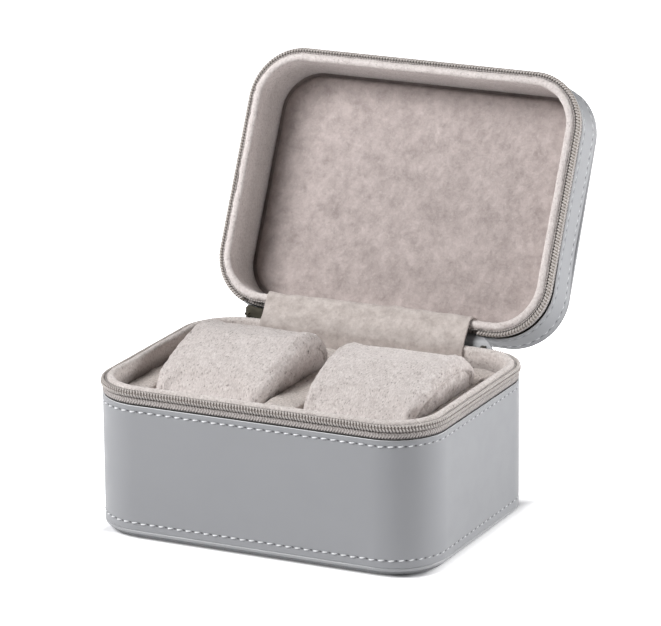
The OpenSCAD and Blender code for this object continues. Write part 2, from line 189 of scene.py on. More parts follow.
def surface(name, grid, wrap=(True, True), u=None, v=None, crease=40):
    """A mesh from a grid of points (m, n, 3). Open ends are closed by fans. u and v are
    the texture coordinates along m and n, with one value more where the grid wraps."""
    m, n = grid.shape[:2]
    quads = grid_faces(m, n, *wrap)
    points = grid.reshape(-1, 3)
    fans = []
    if wrap[1] and not wrap[0]:
        ring = np.arange(n)
        for row, extra in ((0, 0), (m - 1, 1)):
            rim = row * n + ring
            hub = np.full(n, m * n + extra)
            pair = [np.roll(rim, -1), rim] if row == 0 else [rim, np.roll(rim, -1)]
            fans.append(np.stack([hub, *pair], -1)[:, [0, 2, 1]])
        points = np.concatenate([points, [grid[0].mean(0), grid[-1].mean(0)]])
        fans = np.concatenate(fans)
    uv = cap_uv = None
    if u is not None:
        if len(fans):
            cap_uv = np.stack([np.repeat([u[0], u[-1]], n), np.full(2 * n, v[0])], -1)
        i, j = np.meshgrid(
            np.arange(m if wrap[0] else m - 1), np.arange(n if wrap[1] else n - 1), indexing="ij"
        )
        u, v = np.asarray(u), np.asarray(v)
        uv = np.stack(
            [np.stack([u[i + a], v[j + b]], -1) for a, b in ((0, 0), (1, 0), (1, 1), (0, 1))], 2
        ).reshape(-1, 4, 2)
    return piece(name, points, quads, fans, uv, crease, cap_uv)


def repeated(name, points, quads, caps):
    """Many copies of a small closed shape in one mesh: points is (copies, k, 3), and quads
    and caps (triangles) name the points of one copy."""
    copies, k = points.shape[:2]
    step = (np.arange(copies) * k)[:, None, None]
    return piece(name, points.reshape(-1, 3), quads[None] + step, caps[None] + step, crease=60)


# %% [markdown]
# Soft things are never quite even. `bumps` is a smooth, repeatable unevenness: a sum
# of plane waves that run in random directions, with wavelengths near one size. The
# random numbers have a fixed seed, so that every run makes the same case.


# %% Smooth unevenness
def bumps(points, size, seed, waves=28):
    """Sum of cosine waves of about the wavelength size, with a mean square of one."""
    rng = np.random.default_rng(seed)
    way = rng.normal(size=(waves, 3))
    way *= (2 * np.pi / size * rng.uniform(0.6, 1.5, waves) / np.linalg.norm(way, axis=1))[:, None]
    phase = rng.uniform(0, 2 * np.pi, waves)
    total = np.zeros(points.shape[:-1])
    for k, p in zip(way, phase):
        total += np.cos(points @ k + p)
    return total * np.sqrt(2 / waves)


def smooth_step(x, low, high):
    """0 below low, 1 above high, and a smooth rise between them."""
    t = np.clip((x - low) / (high - low), 0, 1)
    return t * t * (3 - 2 * t)


# %% [markdown]
# ## The outline
# Leather, tape, coil, rim and threads all run round the same rounded rectangle, each
# at its own distance from the leather's face. A point on it is the middle of a corner
# arc plus a radius in some direction. Along a straight side the middle moves and the
# direction stays. Round a corner the middle stays and the direction turns. Both are
# straight lines against the distance travelled, so one table of values does it all.

# %% Outline of the case
HALF_X, HALF_Y = CASE_W / 2 - CORNER_R, CASE_D / 2 - CORNER_R
ARC = math.pi * CORNER_R / 2
STOPS = np.cumsum([0, HALF_X, ARC, 2 * HALF_Y, ARC, 2 * HALF_X, ARC, 2 * HALF_Y, ARC, HALF_X])
AROUND = float(STOPS[-1])
MID_X = HALF_X * np.array([0, 1, 1, 1, 1, -1, -1, -1, -1, 0])
MID_Y = HALF_Y * np.array([-1, -1, -1, 1, 1, 1, 1, -1, -1, -1])
TURN = np.radians([-90, -90, 0, 0, 90, 90, 180, 180, 270, 270])


def outline(s, out):
    """x and y at the distance s from the middle of the front, moved out by out."""
    s = np.mod(s, AROUND)
    turn = np.interp(s, STOPS, TURN)
    return (
        np.interp(s, STOPS, MID_X) + (CORNER_R + out) * np.cos(turn),
        np.interp(s, STOPS, MID_Y) + (CORNER_R + out) * np.sin(turn),
    )


def along(s, out, z):
    """Points at the distances s, moved out by out, at the heights z; arrays of one shape."""
    x, y = outline(s, out)
    return np.stack(np.broadcast_arrays(x, y, z), -1)


def back_at(x):
    """Distance along the outline at which the back wall has the coordinate x."""
    return AROUND / 2 - x


print("way round the case", round(AROUND, 1), "mm")

# %% [markdown]
# The lid is made like the tub, standing on its top. Then it is turned over, set on the
# tub and swung open about the hinge line. The turning over is a mirror, which is why
# `piece` checks which way the faces point.


# %% The lid's place
def as_lid(points):
    """Points of a shell that stands on its top, where the open lid has them: mirrored in
    z, moved up, and turned back about the hinge line by the opening angle."""
    x, y, z = np.moveaxis(points, -1, 0)
    y, z = y - HINGE_Y, TUB_H + LID_H - HINGE_Z - z
    c, s = math.cos(OPEN), math.sin(OPEN)
    return np.stack([x, HINGE_Y + c * y + s * z, HINGE_Z - s * y + c * z], -1)


def opened(p):
    """A point (y, z) of the closed lid, where the open lid has it."""
    q = as_lid(np.array([0.0, p[0], TUB_H + LID_H - p[1]]))
    return q[1:]


def from_lid(points):
    """The way back: points of the open lid as the shell that stands on its top."""
    x, y, z = np.moveaxis(points, -1, 0)
    y, z = y - HINGE_Y, z - HINGE_Z
    c, s = math.cos(OPEN), math.sin(OPEN)
    y, z = c * y - s * z, s * y + c * z
    return np.stack([x, HINGE_Y + y, TUB_H + LID_H - HINGE_Z - z], -1)


def flared_lid(points):
    """The lid's leather leans out at the back and its corners, where it is pulled over the
    padding: up to 2.2 mm at the lid's top and 1.0 mm at the zip."""
    corner = np.stack([np.clip(points[..., 0], -HALF_X, HALF_X),
                       np.clip(points[..., 1], -HALF_Y, HALF_Y), points[..., 2]], -1)
    square = points - corner
    square = square / np.maximum(np.linalg.norm(square, axis=-1, keepdims=True), 1e-6)
    upward = np.clip(1 - points[..., 2] / (LID_H - 6), 0, 1)
    lean = smooth_step(points[..., 1], 10, 60) * (1.0 + 1.2 * upward)
    return as_lid(points + lean[..., None] * square)


SHELLS = {"tub": (TUB_H, lambda p: p), "lid": (LID_H, as_lid)}
OUTSIDE = {"tub": (TUB_H, lambda p: p), "lid": (LID_H, flared_lid)}

# %% [markdown]
# ## Tools for materials
# A material is a small graph of shader nodes. One function adds any node: its own
# settings, constants for its sockets, and links from other nodes' outputs. Colours
# are written as the eye sees them, in sRGB hex, and turned to the linear values that
# the renderer counts with.


# %% Nodes and colours
def linear(hex_colour):
    """An sRGB hex colour as linear red, green, blue and 1."""
    c = np.array([int(hex_colour[i : i + 2], 16) for i in (1, 3, 5)]) / 255
    c = np.where(c <= 0.04045, c / 12.92, ((c + 0.055) / 1.055) ** 2.4)
    return (*c.tolist(), 1.0)


def connect(node, inputs):
    """Fill a node's sockets, listed from the first on or by name or number. A constant is
    set, and an output, or a node's first output, is linked."""
    for key, value in inputs.items() if isinstance(inputs, dict) else enumerate(inputs):
        if isinstance(value, bpy.types.Node):
            value = value.outputs[0]
        if isinstance(value, bpy.types.NodeSocket):
            node.id_data.links.new(value, node.inputs[key])
        else:
            node.inputs[key].default_value = value


def add(tree, kind, inputs=(), **settings):
    """Add one node with its settings, and fill its sockets."""
    node = tree.nodes.new("ShaderNode" + kind)
    for key, value in settings.items():
        setattr(node, key, value)
    connect(node, inputs)
    return node


def new_material(name, colour, **shader):
    """A material with a Principled shader. Returns it, its tree, the shader, and the
    coordinates of the object, in which all patterns are laid out."""
    mat = bpy.data.materials.new(name)
    mat.use_nodes = True
    mat.diffuse_color = linear(colour)
    tree = mat.node_tree
    body = tree.nodes["Principled BSDF"]
    body.inputs["Base Color"].default_value = linear(colour)
    for key, value in shader.items():
        body.inputs[key.replace("_", " ").title().replace("Ior", "IOR")].default_value = value
    return mat, tree, body, add(tree, "TexCoord").outputs["Object"]


def per_mm(size):
    """Noise scale, per metre, that gives features of about size millimetres."""
    return 1000.0 / size


def mixed(tree, factor, low, high):
    """Colour between two colours, in hex or from outputs, by a factor."""
    low, high = (linear(c) if isinstance(c, str) else c for c in (low, high))
    return add(tree, "Mix", {0: factor, 6: low, 7: high}, data_type="RGBA").outputs[2]


def mottled(name, colour, size, dark, light, detail=2.0, bump=None, gloss=None, **shader):
    """Two tones, mixed by noise of about size millimetres. The same noise gives a relief
    of the strength and depth in bump, and roughness in the range gloss."""
    mat, tree, body, place = new_material(name, colour, **shader)
    tone = add(tree, "TexNoise", {"Vector": place, "Scale": per_mm(size), "Detail": detail})
    connect(body, {"Base Color": mixed(tree, tone, dark, light)})
    if bump:
        relief = add(tree, "Bump", {"Strength": bump[0], "Distance": bump[1], "Height": tone})
        connect(body, {"Normal": relief})
    if gloss:
        connect(body, {"Roughness": add(tree, "MapRange", [tone, 0.3, 0.7, *gloss])})
    return mat


# %% [markdown]
# ## Smooth grey leather
# The outside is corrected-grain leather: the grain is buffed off and a pigment coat is
# rolled on, then pressed. That gives an even colour, a satin gloss and a very fine
# pebble that shows only close up. The coat is clear enough to catch the light along the
# edges. The needle holes on the seam lines get a painted shadow, and the cut edge at the
# top is painted lighter, partly its own edge finish and partly a painted highlight. So the
# leather needs to know where the seams are: the texture coordinate u counts stitches and
# v is the height.

# %% Leather
STITCHES = 119
STITCH = AROUND / STITCHES


def leather(name, colour, dark, rough=0.42, seams=(), edge_finish_and_highlight=0.0):
    """Pigmented leather with a fine grain. seams are the heights of stitch lines, in mm, where
    a painted shadow darkens the needle holes. The last argument is the height of a cut edge
    that is painted lighter: its own edge finish together with a painted highlight."""
    mat, tree, body, place = new_material(name, colour, roughness=rough, ior=1.48,
                                          coat_weight=0.12, coat_roughness=0.3)
    # the pebble: cells of half a millimetre, with a finer noise on them
    cells = add(tree, "TexVoronoi", {"Vector": place, "Scale": per_mm(0.55)}, feature="SMOOTH_F1")
    fine = add(tree, "TexNoise", {"Vector": place, "Scale": per_mm(0.275), "Detail": 3})
    grain = add(tree, "Math", [cells, fine])
    bump = add(tree, "Bump", {"Strength": 0.12, "Distance": 0.0001, "Height": grain})
    cloud = add(tree, "TexNoise", {"Vector": place, "Scale": per_mm(28), "Detail": 4})
    base = mixed(tree, cloud, dark, colour)
    rub = add(tree, "TexNoise", {"Vector": place, "Scale": per_mm(9), "Detail": 5})
    gloss = add(tree, "MapRange", [rub, 0.3, 0.7, rough - 0.05, rough + 0.06])
    if seams:
        u, v = add(tree, "SeparateXYZ", [add(tree, "UVMap", uv_map="UVMap")]).outputs[:2]
        phase = add(tree, "Math", [u, 1.0, 0.0], operation="WRAP")
        gap = add(tree, "Math", [phase, 0.5], operation="SUBTRACT")
        # from the middle of the gap between two stitches, in mm; the painted shadow in the needle
        # holes is longer than high
        sideways = add(tree, "Math", [gap, STITCH * 0.62], operation="MULTIPLY")
        shade = 0.0
        for seam in seams:
            rise = add(tree, "Math", [v, seam / UV_MM], operation="SUBTRACT")
            rise = add(tree, "Math", [rise, UV_MM], operation="MULTIPLY")
            far = add(tree, "CombineXYZ", [sideways, rise])
            far = add(tree, "VectorMath", [far], operation="LENGTH").outputs["Value"]
            needle_hole_shadow = add(tree, "MapRange", [far, 0.22, 0.55, 1.0, 0.0])
            shade = add(tree, "Math", [shade, needle_hole_shadow], operation="MAXIMUM")
        # painted shadow in the needle holes
        base = mixed(tree, shade, base, "#47474a")
        # the cut edge made lighter: its own edge finish and a painted highlight along the top
        edge = add(tree, "MapRange", [v, edge_finish_and_highlight / UV_MM - 0.0022, edge_finish_and_highlight / UV_MM - 0.0012])
        base = mixed(tree, edge, base, "#cfd0d2")
    connect(body, {"Base Color": base, "Roughness": gloss, "Normal": bump})
    return mat


SEAM_LOW = 8.2
WALL_SEAMS = {"tub": (SEAM_LOW, TUB_H - 11.3), "lid": (SEAM_LOW, LID_H - 11.3)}
wall_leather = {
    shell: leather("pigmented_leather_" + shell, "#939497", "#8e8f92", seams=seams,
                   edge_finish_and_highlight=SHELLS[shell][0] - BAND_GAP)
    for shell, seams in WALL_SEAMS.items()
}
plain_leather = leather("pigmented_leather", "#939497", "#8e8f92")
welt_leather = leather("welt_leather", "#9fa0a2", "#959698", rough=0.38)
bottom_leather = leather("bottom_leather", "#818284", "#797a7c", rough=0.5)

# %% [markdown]
# ## Leather walls
# Each wall is one strip of leather, wrapped round the shell, glued and sewn along both
# edges. Its section is a thin loop: the face, a rounded free edge, and the back. The
# seam presses a shallow channel into the face, deepest at the needle holes, and the
# leather stands a little proud between the seam and the edge.


# %% Leather walls
def wall_section(h, seams):
    """Section of a wall as distances out and heights, and how much each point is on the
    face. The heights are close together near the seams and at the edges."""
    low, high = EDGE_H - 0.35, h - BAND_GAP
    step = [np.arange(low + 0.5, high - 0.5, 3.2)]
    near = np.array([0.25, 0.5, 0.75, 1.1, 1.6])
    step += [seam + np.concatenate([-near[::-1], [0], near]) for seam in seams]
    z = np.unique(np.round(np.concatenate(step), 2))
    z = z[(z > low + 0.45) & (z < high - 0.45)]
    face = np.stack([np.zeros(len(z)), z], -1)
    top = [0, high] + np.array([[-0.03, -0.35], [-0.12, -0.15], [-0.28, -0.04], [-0.45, 0],
                                [-0.62, -0.08], [-0.9, -0.7], [-1.3, -1.5]])
    bottom = [0, low] + np.array([[-1.3, 0], [-0.35, 0], [-0.1, 0.15], [-0.02, 0.35]])
    section = np.concatenate([face, top, bottom])
    on_face = np.concatenate([np.ones(len(z)), np.zeros(len(top) + len(bottom))])
    return section, on_face


def leather_wall(shell):
    """The wall's section carried round the outline. Out is 0 on the face, less a channel
    exp(-(dz/0.55)^2) at each seam, deeper by a cosine at the holes, plus a low welt."""
    h, put = OUTSIDE[shell]
    section, on_face = wall_section(h, WALL_SEAMS[shell])
    per_stitch = 7
    s = np.arange(STITCHES * per_stitch) * STITCH / per_stitch
    out, z = section[:, 0][None], section[:, 1][None]
    pull = 0.62 + 0.38 * np.cos(2 * np.pi * (s[:, None] / STITCH - 0.5))
    press = sum(0.34 * np.exp(-(((z - seam) / 0.55) ** 2)) * pull for seam in WALL_SEAMS[shell])
    high_seam = max(WALL_SEAMS[shell])
    welt = 0.16 * np.exp(-(((z - (high_seam + 1.9)) / 1.1) ** 2))
    out = out + on_face[None] * (welt - press)
    grid = put(along(s[:, None], out, z + 0 * out))
    u = np.arange(len(s) + 1) / per_stitch
    v = np.append(section[:, 1], section[0, 1]) / UV_MM
    made = surface(f"{shell}_leather_wall", grid, u=u, v=v, crease=50)
    made.data.materials.append(wall_leather[shell])
    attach(made, shell)
    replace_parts(made, "base_leather" if shell == "tub" else "lid_leather")
    return made


for shell in SHELLS:
    leather_wall(shell)

# %% [markdown]
# ## Stitching
# The seams are sewn with thick bonded polyester thread, in stitches of about 4.6 mm.
# Each stitch dives into the leather at both ends and lies a little slanted, because a
# lockstitch pulls its ends to opposite sides of the line. One stitch is a short thick
# capsule with few faces. It is repeated along the seam, so all stitches are one mesh.

# %% Thread
thread_white, tree, body, place = new_material("bonded_polyester_thread", "#e9eaec",
                                               roughness=0.55)
twist = add(tree, "TexWave", {"Vector": place, "Scale": per_mm(0.5) / 20, "Distortion": 1.0},
            bands_direction="DIAGONAL")
lay = add(tree, "Bump", {"Strength": 0.3, "Distance": 0.00005, "Height": twist.outputs["Fac"]})
fleck = add(tree, "TexNoise", {"Vector": place, "Scale": per_mm(3)})
connect(body, {"Base Color": mixed(tree, fleck, "#d2d3d5", "#eff0f2"), "Normal": lay})


def stitches(shell, seam, name):
    """A row of stitches at the height seam. Along one stitch t runs from -1 to 1: it
    rises by 1 - t^2 above the face, its radius falls off at the ends, and it slants."""
    _, put = OUTSIDE[shell]
    t = np.array([-1, -0.82, -0.5, 0, 0.5, 0.82, 1.0])
    angle = np.linspace(0, 2 * np.pi, 7)[:-1]
    thick, half = 0.36, 1.30
    radius = (thick * np.sqrt(np.clip(1 - t**4, 0.06, 1)))[None, :, None]
    middle = np.arange(STITCHES)[:, None, None] * STITCH
    rng = np.random.default_rng(int(seam * 10))
    sway = rng.normal(0, 0.05, (STITCHES, 1, 1))
    t = t[None, :, None]
    s = middle + half * t + 0 * angle
    # the thread is pulled in deeper on the right side, and on the lid's seam at the zip
    sunk = 0.50 * smooth_step(outline(s, 0.0)[0], 62, 84)
    if shell == "lid":
        sunk = np.maximum(sunk, 0.55 if seam > SEAM_LOW else 0.32)
    rise = thick * (1 - t**2) - 0.30 + radius * np.cos(angle) - sunk
    z = seam + 0.13 * half * t + sway * 1.5 + radius * np.sin(angle)
    grid = put(along(s, rise + 0.12, z))
    n, last = len(angle), (t.size - 1) * len(angle)
    quads = grid_faces(t.size, n, False, True)
    fan = np.array([[0, k, k + 1] for k in range(1, n - 1)])
    caps = np.concatenate([fan, last + fan[:, ::-1]])
    made = repeated(name, grid.reshape(STITCHES, -1, 3), quads, caps)
    made.data.materials.append(thread_white)
    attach(made, shell)
    return made


for shell, seams in WALL_SEAMS.items():
    for seam, where in zip(seams, ("bottom", "rim")):
        stitches(shell, seam, f"{shell}_stitches_{where}")

# %% [markdown]
# ## Zip tape
# Zip tape is woven polyester in a herringbone: diagonal ribs that change direction from
# one narrow band to the next. The pattern follows the tape round the corners, so it
# reads texture coordinates in millimetres along and across the tape. A zigzag across
# the tape is added to the distance along it, and a sine of the sum makes the ribs.


# %% Woven tape
def woven(name, light, dark, rib, band):
    """Herringbone: sin of 2 pi (u + 0.7 zigzag(v)) / rib, with bands of the given width."""
    mat, tree, body, place = new_material(name, light, roughness=0.8, sheen_weight=0.25,
                                          sheen_roughness=0.5)
    u, v = add(tree, "SeparateXYZ", [add(tree, "UVMap", uv_map="UVMap")]).outputs[:2]
    zigzag = add(tree, "Math", [v, band / UV_MM], operation="PINGPONG")
    slant = add(tree, "Math", [zigzag, 0.7, u], operation="MULTIPLY_ADD")
    wave = add(tree, "Math", [slant, 2 * math.pi * UV_MM / rib], operation="MULTIPLY")
    wave = add(tree, "Math", [wave], operation="SINE")
    fuzz = add(tree, "TexNoise", {"Vector": place, "Scale": per_mm(0.6), "Detail": 4})
    rough = add(tree, "Math", [fuzz, 5.0, -2.5], operation="MULTIPLY_ADD")
    height = add(tree, "Math", [wave, rough])
    shade = add(tree, "MapRange", [height, -1.5, 1.5])
    # v counts from the rim in 100 mm; below -0.07, in the fold over the leather, the colour is
    # painted dark as the shadow there, with a ragged line
    ragged_shadow_line = add(tree, "Math", [height, 0.0022, v], operation="MULTIPLY_ADD")
    foot_shadow = add(tree, "MapRange", [ragged_shadow_line, -0.0705, -0.0745, 0.0, 0.92])
    # painted shadow along the lowest part of the tape
    colour = mixed(tree, foot_shadow, mixed(tree, shade, dark, light), "#3d3733")
    bump = add(tree, "Bump", {"Strength": 0.7, "Distance": 0.00025, "Height": height})
    connect(body, {"Base Color": colour, "Normal": bump})
    return mat


tape_weave = woven("woven_polyester_tape", "#c6bfbc", "#857d79", rib=1.4, band=1.5)


def zip_tape(shell):
    """Strip of tape from behind the leather to behind the coil. It bellies out by up to
    1.35 mm where it shows, and a woven rib runs just below the coil."""
    h, put = SHELLS[shell]
    z = h - np.concatenate([[12.0, 9.5], np.linspace(8.7, 4.4, 24), [3.2, 1.6]])
    belly = 1.35 * smooth_step(z, h - 8.8, h - 7.3) * smooth_step(-z, -(h - 4.6), -(h - 5.9))
    rib = 0.75 * np.exp(-(((z - (h - 5.2)) / 0.27) ** 2))
    face = np.stack([-1.35 + belly + rib, z], -1)
    rear = np.stack([np.full(len(z), -1.95), z], -1)[::-1]
    section = np.concatenate([face, rear])
    start = back_at(ZIP_END) - AROUND
    s = np.linspace(start, back_at(ZIP_END if shell == "tub" else LID_ZIP_END), 620)
    grid = put(along(s[:, None], section[None, :, 0], section[None, :, 1]))
    v = (np.append(section[:, 1], section[0, 1]) - h) / UV_MM
    made = surface(f"{shell}_zip_tape_woven", grid, (False, True), s / UV_MM, v, crease=60)
    made.data.materials.append(tape_weave)
    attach(made, shell)
    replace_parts(made, "base_zip_tape" if shell == "tub" else "lid_zip_tape")
    return made


for shell in SHELLS:
    zip_tape(shell)

# %% [markdown]
# ## Nylon coil
# A coil zip has no separate teeth. A stiff nylon monofilament is wound into a flattened
# spiral, pressed so that each turn has a head, and sewn to the tape. From outside it
# shows as two rows: small round heads at the free edge and longer slanted bars below
# them. The wire here is that spiral: a flattened helix carried round the outline, with
# a dip between the rows and a slant on the outer side.

# %% Coil
nylon = mottled("nylon_monofilament", "#a79d95", 1.4, "#aaa29d", "#d6d0cc", bump=(0.2, 0.00005),
                roughness=0.38, ior=1.53)
PITCH = 1.475
WIRE = 0.45
COIL_MID, COIL_RISE = 3.0, 1.24


def tube(path, radius, sides):
    """Rings of points round a path (m, 3): two directions square to the path carry a
    circle. The second direction starts from straight up."""
    along_it = np.gradient(path, axis=0)
    along_it /= np.linalg.norm(along_it, axis=1, keepdims=True)
    across = np.cross(along_it, [0.3, 0.2, 1.0])
    across /= np.linalg.norm(across, axis=1, keepdims=True)
    other = np.cross(along_it, across)
    a = np.linspace(0, 2 * np.pi, sides, endpoint=False)
    ring = across[:, None] * np.cos(a)[None, :, None] + other[:, None] * np.sin(a)[None, :, None]
    return path[:, None] + ring * np.reshape(radius, (-1, 1, 1))


def coil(shell, s0, s1):
    """The wound wire from distance s0 to s1. With the angle a of a turn: out is
    -0.2 + 0.7 cos a and the height is the middle - 1.24 sin a, both a little squared off.
    On the outer side the turns lean one way below the sewing thread and the other above."""
    h, put = SHELLS[shell]
    turns, per_turn = int((s1 - s0) / PITCH), 14
    a = np.arange(turns * per_turn + 1) * 2 * np.pi / per_turn
    c, s = np.cos(a), np.sin(a)
    square = (np.abs(c) ** 3 + np.abs(s) ** 3) ** (-1 / 3)
    z = h - COIL_MID - COIL_RISE * s * square
    out = -0.2 + 0.70 * c * square
    above = (z - (h - COIL_MID + 0.35)) / COIL_RISE
    outer = np.clip(c * 2, 0, 1)
    dip = 0.35 * np.exp(-((above / 0.25) ** 2)) * outer
    lean = np.where(above < 0, -0.40 * above, 0.75 * above) * outer
    way = s0 + PITCH * a / (2 * np.pi) + lean
    path = along(way, out - dip, z)
    grid = put(tube(path, WIRE, 6))
    return surface(f"{shell}_zip_coil_wire", grid, (False, True), crease=80)


def cord(shell, name, s0, s1, out, z, wide, high):
    """A cord along the coil: an ellipse carried round the outline at the height z."""
    _, put = SHELLS[shell]
    s = np.linspace(s0, s1, 600)
    a = np.linspace(0, 2 * np.pi, 10, endpoint=False)
    grid = put(along(s[:, None], out + wide * np.cos(a)[None], z + high * np.sin(a)[None]))
    return surface(f"{shell}_{name}", grid, (False, True), crease=80)


COILS = {
    "tub": (-back_at(ZIP_END), back_at(ZIP_END + 2.4), "base_zip_teeth"),
    "lid": (-back_at(ZIP_END + 11.7), back_at(LID_ZIP_END), "lid_zip_teeth"),
}

# the lid's cord fills its coil more, and its yarn is painted paler than the tub's, as painted light
# on the lid's coil, which faces away from the lamps; both are matt textured yarn
cords = {"tub": (0.55, mottled("zip_cord", "#625b56", 0.5, "#625b56", "#877f79", 3,
                               roughness=0.9)),
         "lid": (0.85, mottled("zip_cord_painted_lighter", "#7f7771", 0.5, "#7f7771", "#a1998f", 3,
                               roughness=0.9))}
for shell, (s0, s1, node) in COILS.items():
    wire = coil(shell, s0, s1)
    wire.data.materials.append(nylon)
    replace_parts(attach(wire, shell), node)
    h = SHELLS[shell][0]
    fill, yarn = cords[shell]
    for name, out, z, wide, high in (("zip_coil_cord", -0.10, h - COIL_MID, fill, 1.05),
                                     ("zip_sewing_thread", 0.60, h - COIL_MID + 0.38, 0.20, 0.17)):
        made = cord(shell, name, s0, s1, out, z, wide, high)
        made.data.materials.append(yarn)
        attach(made, shell)

# %% [markdown]
# ## Suede
# The lining is microfibre suede: short fibres that stand up and lie in whatever way
# they were last brushed. Three things make it look so. Brushed and unbrushed patches
# differ in brightness, over a centimetre or two. Tufts of fibres give a speckle of less
# than a millimetre. The nap's tips catch the light at glancing angles, which is sheen.


# %% Napped suede
def suede(name, light, dark, patch=7.0, contrast=0.5, streak=(1, 1, 1), tuft=1.2, speckle=0.6,
          specks=0.5, painted_shade=None):
    """Suede of two tones: patches of the size patch, softer with a low contrast, tufts of
    the size tuft, both in mm and mixed by speckle, and on top a few dark specks where the
    nap is parted and light ones where fibres stand up. streak stretches the tufts along
    the way they lie. The last argument, (0 for u or 1 for v, at full, at none, share), is
    painted shade: it darkens the colour in a seam, a bend or down an inner wall, where
    shade falls."""
    mat, tree, body, place = new_material(name, light, roughness=0.95, specular_ior_level=0.2,
                                          sheen_weight=0.3, sheen_roughness=0.45)
    lie = add(tree, "Mapping", {"Vector": place, "Scale": streak})
    cloud = add(tree, "TexNoise", {"Vector": place, "Scale": per_mm(patch), "Detail": 6,
                                   "Roughness": 0.68, "Distortion": 0.2})
    tufts = add(tree, "TexNoise", {"Vector": lie, "Scale": per_mm(tuft), "Detail": 4,
                                   "Roughness": 0.7})
    odd = add(tree, "TexNoise", {"Vector": lie, "Scale": per_mm(1.0), "Detail": 1})
    spread = 0.125 / contrast
    soft = add(tree, "MapRange", [cloud, 0.5 - spread, 0.5 + spread])
    fleck = add(tree, "MapRange", [tufts, 0.36, 0.64])
    both = add(tree, "Mix", {0: speckle, 2: soft, 3: fleck})
    parted = add(tree, "MapRange", [odd, 0.37, 0.28, 0.0, specks])
    raised = add(tree, "MapRange", [odd, 0.62, 0.72, 0.0, specks])
    colour = mixed(tree, both, dark, light)
    colour = mixed(tree, parted, colour, "#6d625e")
    colour = mixed(tree, raised, colour, "#eae5e2")
    if painted_shade:
        axis, full, none, share = painted_shade
        way = add(tree, "SeparateXYZ", [add(tree, "UVMap", uv_map="UVMap")]).outputs[axis]
        # the share of painted shade, full at one end of the range and none at the other
        press = add(tree, "MapRange", [way, none, full, 0.0, share],
                    interpolation_type="SMOOTHSTEP")
        colour = mixed(tree, press, colour, "#4a3f3b")
    nap = add(tree, "Bump", {"Strength": 0.85, "Distance": 0.0006, "Height": tufts})
    connect(body, {"Base Color": colour, "Normal": nap})
    return mat


# the rims get painted shade on the inner wall just below the rim
suede_rim = {
    "tub": suede("microfibre_suede_rim", "#e1dad6", "#bab1ad", tuft=1.3, specks=0.45,
                 painted_shade=(1, -0.085, -0.035, 0.42)),
    "lid": suede("microfibre_suede_lid_rim", "#ece5e2", "#c9bfbc", tuft=1.3, specks=0.3,
                 painted_shade=(1, -0.13, -0.045, 0.17)),
}
suede_insert = suede("microfibre_suede_insert", "#ded4ce", "#a89f99", speckle=0.7, specks=0.6)
suede_panel = suede("microfibre_suede_panel", "#c6bab7", "#9c918e", patch=7.5, contrast=0.65,
                    tuft=2.2, speckle=0.2, specks=0.12, painted_shade=(0, 0.004, 0.030, 0.44))
suede_strip = suede("microfibre_suede_strip", "#d5ccc7", "#aca29d", patch=5.5, contrast=0.7,
                    tuft=2.2, speckle=0.25, specks=0.14, painted_shade=(0, 0.10, 0.17, 0.2))
suede_pillow = suede("microfibre_suede_pillow", "#e7e0dd", "#b2a8a5", patch=4.0, contrast=0.5,
                     streak=(1.5, 0.7, 0.7), tuft=1.1, speckle=0.5, specks=0.6)

# %% [markdown]
# ## Lining and rim
# A strip of suede covers the inner wall and turns over the board into a soft round rim,
# padded with foam. The section is the wall, a half round and a short outer face, and it
# is carried round the outline with a slight unevenness that a real padded edge has.


# %% Lining
WALL_IN = 5.8
RIM_IN, RIM_R, RIM_DROP = 3.9, 1.9, 2.1


def lining(shell):
    """Wall and rolled rim: a half circle of radius 1.9 at 3.9 mm in from the leather,
    and straight faces below it, moved out or in by bumps of a few tenths of a mm."""
    h, put = SHELLS[shell]
    a = np.radians(np.linspace(180, 0, 17))
    rows = 9 if shell == "tub" else 6
    wall = np.concatenate([np.linspace(3.6, h - 6, rows), [h - 4.5, h - 3.2]])
    section = np.concatenate([
        np.stack([np.full(len(wall), -WALL_IN), wall], -1),
        np.stack([-RIM_IN + RIM_R * np.cos(a), h - RIM_DROP + RIM_R * np.sin(a)], -1),
        [[-2.0, h - 3.25], [-4.05, h - 3.3], [-4.05, 3.6]],
    ])
    s = np.linspace(0, AROUND, 820, endpoint=False)
    grid = along(s[:, None], section[None, :, 0], section[None, :, 1])
    uneven = (0.06 * bumps(grid, 5.0, 11) + 0.07 * bumps(grid, 22.0, 12)
              + 0.07 * bumps(grid, 1.7, 13))
    rim = smooth_step(section[:, 1], h - 30, h - 2.5)[None] * (section[:, 0] > -6)[None]
    x, y = outline(s, 1.0)
    x0, y0 = outline(s, 0.0)
    outward = np.stack([x - x0, y - y0, 0 * s], -1)[:, None]
    lift = np.array([0, 0, 1.0])
    grid = grid + (uneven * rim)[..., None] * (0.7 * outward + 0.5 * lift) - 0.1 * lift
    v = (np.append(section[:, 1], section[0, 1]) - h) / UV_MM
    u = np.append(s, AROUND) / UV_MM
    made = surface(f"{shell}_suede_lining", put(grid), u=u, v=v, crease=50)
    made.data.materials.append(suede_rim[shell])
    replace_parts(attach(made, shell), "base_lining" if shell == "tub" else "lid_lining")
    return made


for shell in SHELLS:
    lining(shell)

# %% [markdown]
# ## Insert
# The insert is a block of foam with two pockets, covered in suede. The CAD solid has
# the right shape but machine-sharp corners. A copy of it is remeshed evenly with a
# voxel grid, smoothed so that every edge rounds over as stretched cloth does, and
# pushed in and out a little by `bumps`.


